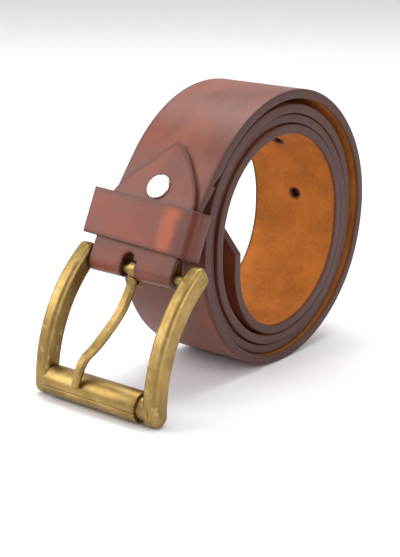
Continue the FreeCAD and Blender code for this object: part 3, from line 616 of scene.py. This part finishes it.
def make_chape():
    half = CHAPE_HALF
    shares = ((0.0, 0.0), (3.7, 0.245), (8.0, 0.44), (11.6, 0.6), (15.5, 0.755), (17.5, 0.83),
              (20.4, 0.91), (22.9, 0.965), (27.0, 1.0))
    side = np.array([(below, share * half) for below, share in shares])
    lean = -2.0 * np.maximum(0.0, 1 - side[:, 0] / 11.0) ** 2
    right = np.column_stack([side[:, 0], lean + side[:, 1]])
    left = np.column_stack([side[:, 0], lean - side[:, 1]])
    curve = spline(np.vstack([left[::-1], right[1:]]), 6)
    outline = resample(np.vstack([curve, [[CHAPE.length, half], [CHAPE.length, -half]]]), 0.7)
    fold_start = CHAPE_TIP
    front_end = fold_start - 5.5
    stations = np.linspace(fold_start + 4, CHAPE.length, 300)
    back_end = stations[np.argmax(chape_height(stations) > 4.4)]
    shift = CHAPE_SHIFT + CHAPE_SKEW * 2.0
    low_x, high_x = -7.3 - shift, -0.6 - shift
    end = arc3((front_end + 2.6, low_x), (front_end, low_x + 2.6), (front_end + 2.6, low_x + 5.2), 16)
    slot = resample(np.vstack([end, [
        [front_end + 2.7, high_x], [back_end, high_x], [back_end, low_x]]]), 0.4)
    screw_hole = circle(2.4, 24, (CHAPE_TIP - SCREW_STATION, 0.0 - CHAPE_SHIFT - CHAPE_SKEW * SCREW_STATION))
    piece = slab(
        "chape_leather_visual", outline, [slot, screw_hole], 0.8, CHAPE_THICKNESS, chape_place, 0.35, 3)
    return put(piece, "belt", "chape", CHAPE_LEATHER)


make_chape()


# ---------------------------------------------------------------- screw
def screw_place(u, v, n):
    y, z = BELT.at([SCREW_STATION], 0.0)
    y1, z1 = BELT.at([SCREW_STATION], 1.0)
    out = np.array([y1[0] - y[0], z1[0] - z[0]])
    up = np.array([-out[1], out[0]]) * -1
    dome = 0.12 * (1 - np.minimum(1, (u ** 2 + v ** 2) / 24.0))
    lift = LAY_GAP + CHAPE_THICKNESS + 0.8 - 0.12 + n + dome
    return u, y[0] + up[0] * v + out[0] * lift, z[0] + up[1] * v + out[1] * lift


put(slab("screw_head_visual", circle(4.7, 72), [], 0.8, 0.7, screw_place, 0.4, 5),
    "belt", None, NICKEL)
for title, slot_name, material in (
        ("screw_post", "nickel", NICKEL),
        ("screw", "nickel", NICKEL),
        ("keeper_staples", "staple_steel", STEEL)):
    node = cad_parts[title]
    node.data.materials.clear()
    node.data.materials.append(material)


# ---------------------------------------------------------------- keeper
KEEPER_LEFT, KEEPER_RIGHT = -28.8, 22.8
KEEPER_LOW, KEEPER_HEIGHT, KEEPER_WALL = 8.2, 17.2, 1.4
KEEPER_FRONT = -(FOLD_RADIUS + LAY_GAP + CHAPE_THICKNESS + 0.2)
KEEPER_BACK = KEEPER_FRONT + 6.45
KEEPER_CORNER = 3.2
KEEPER_SKEW = -2.3


def keeper_track():
    """The loop's outer face, seen from above, starting and ending at the seam behind."""
    left, right = KEEPER_LEFT, KEEPER_RIGHT
    front, back = KEEPER_FRONT - KEEPER_WALL, KEEPER_BACK + KEEPER_WALL
    middle = (left + right) / 2
    r = KEEPER_CORNER
    points, normals = [], []

    def line(a, b, normal):
        count = int(np.hypot(b[0] - a[0], b[1] - a[1]) / 0.4)
        for k in range(count):
            points.append([a[0] + (b[0] - a[0]) * k / count, a[1] + (b[1] - a[1]) * k / count])
            normals.append(normal)

    def corner(cx, cy, start):
        for k in range(16):
            out = direction(start + 90 * k / 16)
            points.append([cx + out[0] * r, cy + out[1] * r])
            normals.append(out)

    line((middle - 0.15, back), (left + r, back), (0, 1))
    corner(left + r, back - r, 90)
    line((left, back - r), (left, front + r), (-1, 0))
    corner(left + r, front + r, 180)
    line((left + r, front), (right - r, front), (0, -1))
    corner(right - r, front + r, 270)
    line((right, front + r), (right, back - r), (1, 0))
    corner(right - r, back - r, 0)
    line((right - r, back), (middle + 0.15, back), (0, 1))
    points.append([middle + 0.15, back])
    normals.append((0, 1))
    return Track(points, normals)


KEEPER = keeper_track()


def keeper_place(u, v, n):
    x, y = KEEPER.at(u, n)
    middle = (KEEPER_LEFT + KEEPER_RIGHT) / 2
    in_front = np.clip(-(y - KEEPER_FRONT) / KEEPER_WALL + 1, 0, 1)
    y = y - 0.3 * in_front * (1 - ((x - middle) / 25) ** 2)
    z = v
    a = math.radians(-KEEPER_SKEW)
    dx, dz = x - middle, z - KEEPER_HEIGHT / 2
    x = middle + dx * math.cos(a) + dz * math.sin(a)
    z = KEEPER_LOW + KEEPER_HEIGHT / 2 - dx * math.sin(a) + dz * math.cos(a)
    return lead_place(x, y, z)


def make_keeper():
    outline = resample([(0, 0), (KEEPER.length, 0), (KEEPER.length, KEEPER_HEIGHT), (0, KEEPER_HEIGHT)], 0.5)
    piece = slab("keeper_leather_visual", outline, [], 0.8, KEEPER_WALL, keeper_place, 0.4, 4, 0.3)
    return put(piece, "keeper", "keeper", KEEPER_LEATHER)


make_keeper()


# ---------------------------------------------------------------- buckle
BUCKLE_LENGTH, INNER_LEFT, INNER_RIGHT = 46.1, -23.4, 21.8
ARM_WIDTH, ARM_DEPTH, ARM_RADIUS, HEEL_BAR_INSET = 6.5, 7.7, 54.8, 1.5
ARM_TOP_BEYOND, FOOT_BEYOND = 4.6, 1.9
SWING = 29.1
ROLLER_RADIUS, ROLLER_BORE, CORE_RADIUS = 5.65, 4.35, 4.27


def hang(x, y, z):
    """From a drawing with the heel bar on X and the roller straight below it."""
    a = math.radians(-SWING)
    return x, y * math.cos(a) - z * math.sin(a) + HEEL_BAR[0], y * math.sin(a) + z * math.cos(a) + HEEL_BAR[1]


def bow_centre():
    heel = ARM_RADIUS - HEEL_BAR_INSET
    down = (heel ** 2 - ARM_RADIUS ** 2 + BUCKLE_LENGTH ** 2) / (2 * BUCKLE_LENGTH)
    return np.array([math.sqrt(heel ** 2 - down ** 2), -down])


BOW = bow_centre()


def bow_angle(y, z):
    return math.degrees(math.atan2(z - BOW[1], y - BOW[0])) % 360.0


def bow_point(angle, radius):
    return BOW + direction(angle) * radius


def arm_outline():
    top = bow_angle(0, 0) - math.degrees(ARM_TOP_BEYOND / ARM_RADIUS)
    foot = bow_angle(0, -BUCKLE_LENGTH) + math.degrees(FOOT_BEYOND / ARM_RADIUS)
    half = ARM_DEPTH / 2
    outer, inner = ARM_RADIUS + half, ARM_RADIUS - half
    r = 2.2
    round_out, round_in = math.degrees(r / outer), math.degrees(r / inner)
    points = [bow_point(a, outer) for a in np.linspace(top + round_out, foot, 60)]
    middle = bow_point(foot, ARM_RADIUS)
    points += [middle + direction(foot + a) * half for a in np.linspace(0, 180, 24)[1:-1]]
    points += [bow_point(a, inner) for a in np.linspace(foot, top + round_in, 50)]
    corner = bow_point(top + round_in, inner + r)
    points += [corner + direction(top + 180 + a) * r for a in np.linspace(0, 90, 8)[1:]]
    corner = bow_point(top + round_out, outer - r)
    points += [corner + direction(top - 90 + a) * r for a in np.linspace(0, 90, 8)[:-1]]
    return resample(points, 0.5)


def bar(name, radius, length, start, z):
    def place(u, v, n):
        return hang(start + length + n, u, v + z)
    return slab(name, circle(radius, 40), [], radius * 0.5, length, place, 0.2, 2)


def join(pieces):
    """Several objects made into the first one."""
    for other in pieces[1:]:
        work = bmesh.new()
        work.from_mesh(pieces[0].data)
        work.from_mesh(other.data)
        work.to_mesh(pieces[0].data)
        work.free()
        bpy.data.objects.remove(other)
    return pieces[0]


def make_buckle():
    pieces = []
    for side in (-1, 1):
        start = INNER_RIGHT if side > 0 else INNER_LEFT - ARM_WIDTH

        def place(u, v, n, start=start):
            return hang(start + ARM_WIDTH + n, u, v)
        pieces.append(slab("arm", arm_outline(), [], 1.2, ARM_WIDTH, place, 1.9, 7))
    start = INNER_LEFT - ARM_WIDTH / 2
    length = INNER_RIGHT - INNER_LEFT + ARM_WIDTH
    pieces.append(bar("heel_bar", 1.9, length, start, 0.0))
    pieces.append(bar("core_bar", CORE_RADIUS, length, start, -BUCKLE_LENGTH))
    pieces[0].name = "buckle_frame_visual"
    return put(join(pieces), "buckle", "buckle_frame", BRASS)


def make_roller():
    left = INNER_LEFT + 0.4
    length = INNER_RIGHT - INNER_LEFT - 2.4
    seam = 215.0
    half_gap = math.degrees(0.15 / ROLLER_RADIUS)
    angles = np.linspace(seam + half_gap, seam + 360 - half_gap, 90)
    outer = [direction(a) * ROLLER_RADIUS for a in angles]
    inner = [direction(a) * ROLLER_BORE for a in angles[::-1]]
    outline = np.array(outer + inner)

    def place(u, v, n):
        return hang(left + length + n, u, v - BUCKLE_LENGTH)
    piece = slab("roller_visual", outline, [], 0.6, length, place, 0.22, 3)
    return put(piece, "roller", "roller", BRASS)


make_buckle()
make_roller()


# ---------------------------------------------------------------- tongue
TONGUE_X, TONGUE_DRIFT = -2.5, -4.4


def make_tongue():
    rest = ROLLER_RADIUS + 0.12 + 0.95
    length = BUCKLE_LENGTH
    middle = spline(np.array([
        [-0.3, -0.065 * length], [0.8, -0.16 * length], [1.0, -0.31 * length], [-0.2, -0.43 * length],
        [-0.33 * rest, -0.555 * length], [-0.7 * rest, -0.68 * length], [-1.08 * rest, -0.775 * length],
        [-1.16 * rest, -0.86 * length], [-rest, -length + 0.2]]), 10)
    tangent = np.gradient(middle, axis=0)
    tangent /= np.linalg.norm(tangent, axis=1)[:, None]
    out = np.column_stack([tangent[:, 1], -tangent[:, 0]])
    half = (2.6 + (1.9 - 2.6) * (-middle[:, 1] / length)) / 2
    front, back = middle + out * half[:, None], middle - out * half[:, None]
    tip = [middle[-1] + (tangent[-1] * math.cos(a) + out[-1] * math.sin(a)) * half[-1]
           for a in np.linspace(math.pi / 2, -math.pi / 2, 12)[1:-1]]
    outline = resample(np.vstack([front, tip, back[::-1]]), 0.4)

    def width(u, v):
        share = np.clip(-v / length, 0, 1)
        return 3.2 + 2.29 * share * (2.1 - share) / 1.75 - 1.5 * share ** 3

    def place(u, v, n):
        middle_x = TONGUE_X + TONGUE_DRIFT * (-v / length)
        return hang(middle_x + width(u, v) / 2 + n, u, v)
    shank = slab("tongue_visual", outline, [], 0.6, width, place, 0.75, 5)

    def loop_place(u, v, n):
        return hang(TONGUE_X + 1.6 + n, u, v)
    around = np.radians(np.linspace(-85, 180 + 92, 60))
    outer = np.column_stack([np.cos(around), np.sin(around)])
    hook = np.vstack([
        [[2.05, -5.3], [3.35, -5.3], [3.4, 0.0]], outer[around > 0.05] * 3.4,
        (outer[around > 0.0] * 2.0)[::-1], [[2.0, 0.0]]])
    loop = slab("loop", resample(hook, 0.25), [], 0.5, 3.2, loop_place, 0.35, 4)
    return put(join([shank, loop]), "tongue", "tongue", BRASS)


make_tongue()


# ---------------------------------------------------------------- floor, light and camera
def make_floor():
    mesh = bpy.data.meshes.new("floor")
    r = 6.0
    mesh.from_pydata([(-r, -r, 0), (r, -r, 0), (r, r, 0), (-r, r, 0)], [], [(0, 1, 2, 3)])
    piece = bpy.data.objects.new("floor", mesh)
    bpy.context.scene.collection.objects.link(piece)
    p = Paint("floor")
    p.shader.inputs["Base Color"].default_value = (0.86, 0.855, 0.87, 1.0)
    p.shader.inputs["Roughness"].default_value = 0.55
    p.shader.inputs["Specular IOR Level"].default_value = 0.3
    mesh.materials.append(p.material)
    piece.location.z = -0.0001


def area_light(name, where, aim, size, power, colour=(1, 1, 1)):
    data = bpy.data.lights.new(name, "AREA")
    data.shape = "RECTANGLE"
    data.size, data.size_y = size
    data.energy = power
    data.color = colour
    lamp = bpy.data.objects.new(name, data)
    bpy.context.scene.collection.objects.link(lamp)
    lamp.location = where
    lamp.rotation_euler = (Vector(aim) - Vector(where)).to_track_quat("-Z", "Y").to_euler()


def make_world():
    world = bpy.data.worlds.new("studio")
    bpy.context.scene.world = world
    world.use_nodes = True
    sky = world.node_tree.nodes["Background"]
    sky.inputs["Color"].default_value = (0.905, 0.89, 0.92, 1.0)
    sky.inputs["Strength"].default_value = 0.75


def make_camera():
    data = bpy.data.cameras.new("camera")
    data.lens = 90.67
    data.sensor_width = 36.0
    data.clip_start, data.clip_end = 0.01, 50.0
    camera = bpy.data.objects.new("camera", data)
    bpy.context.scene.collection.objects.link(camera)
    az, el, roll = math.radians(38.753), math.radians(17.007), math.radians(0.209)
    back = Vector((math.sin(az) * math.cos(el), -math.cos(az) * math.cos(el), math.sin(el)))
    right = Vector((math.cos(az), math.sin(az), 0.0))
    up = back.cross(right)
    turn = Matrix((right, up, back)).transposed() @ Matrix.Rotation(roll, 3, "Z")
    camera.matrix_world = Matrix.Translation((0.31774, -0.404015, 0.19032)) @ turn.to_4x4()
    bpy.context.scene.camera = camera


make_floor()
make_world()
make_camera()
area_light("top", (-0.15, 0.25, 0.95), (0, 0.02, 0.05), (0.9, 0.7), 9.0)
area_light("left", (-0.75, -0.55, 0.55), (0, 0, 0.05), (0.6, 0.6), 5.0)
area_light("right", (0.75, -0.15, 0.4), (0, 0, 0.05), (0.5, 0.6), 2.5)
bpy.context.scene.view_settings.view_transform = "Standard"
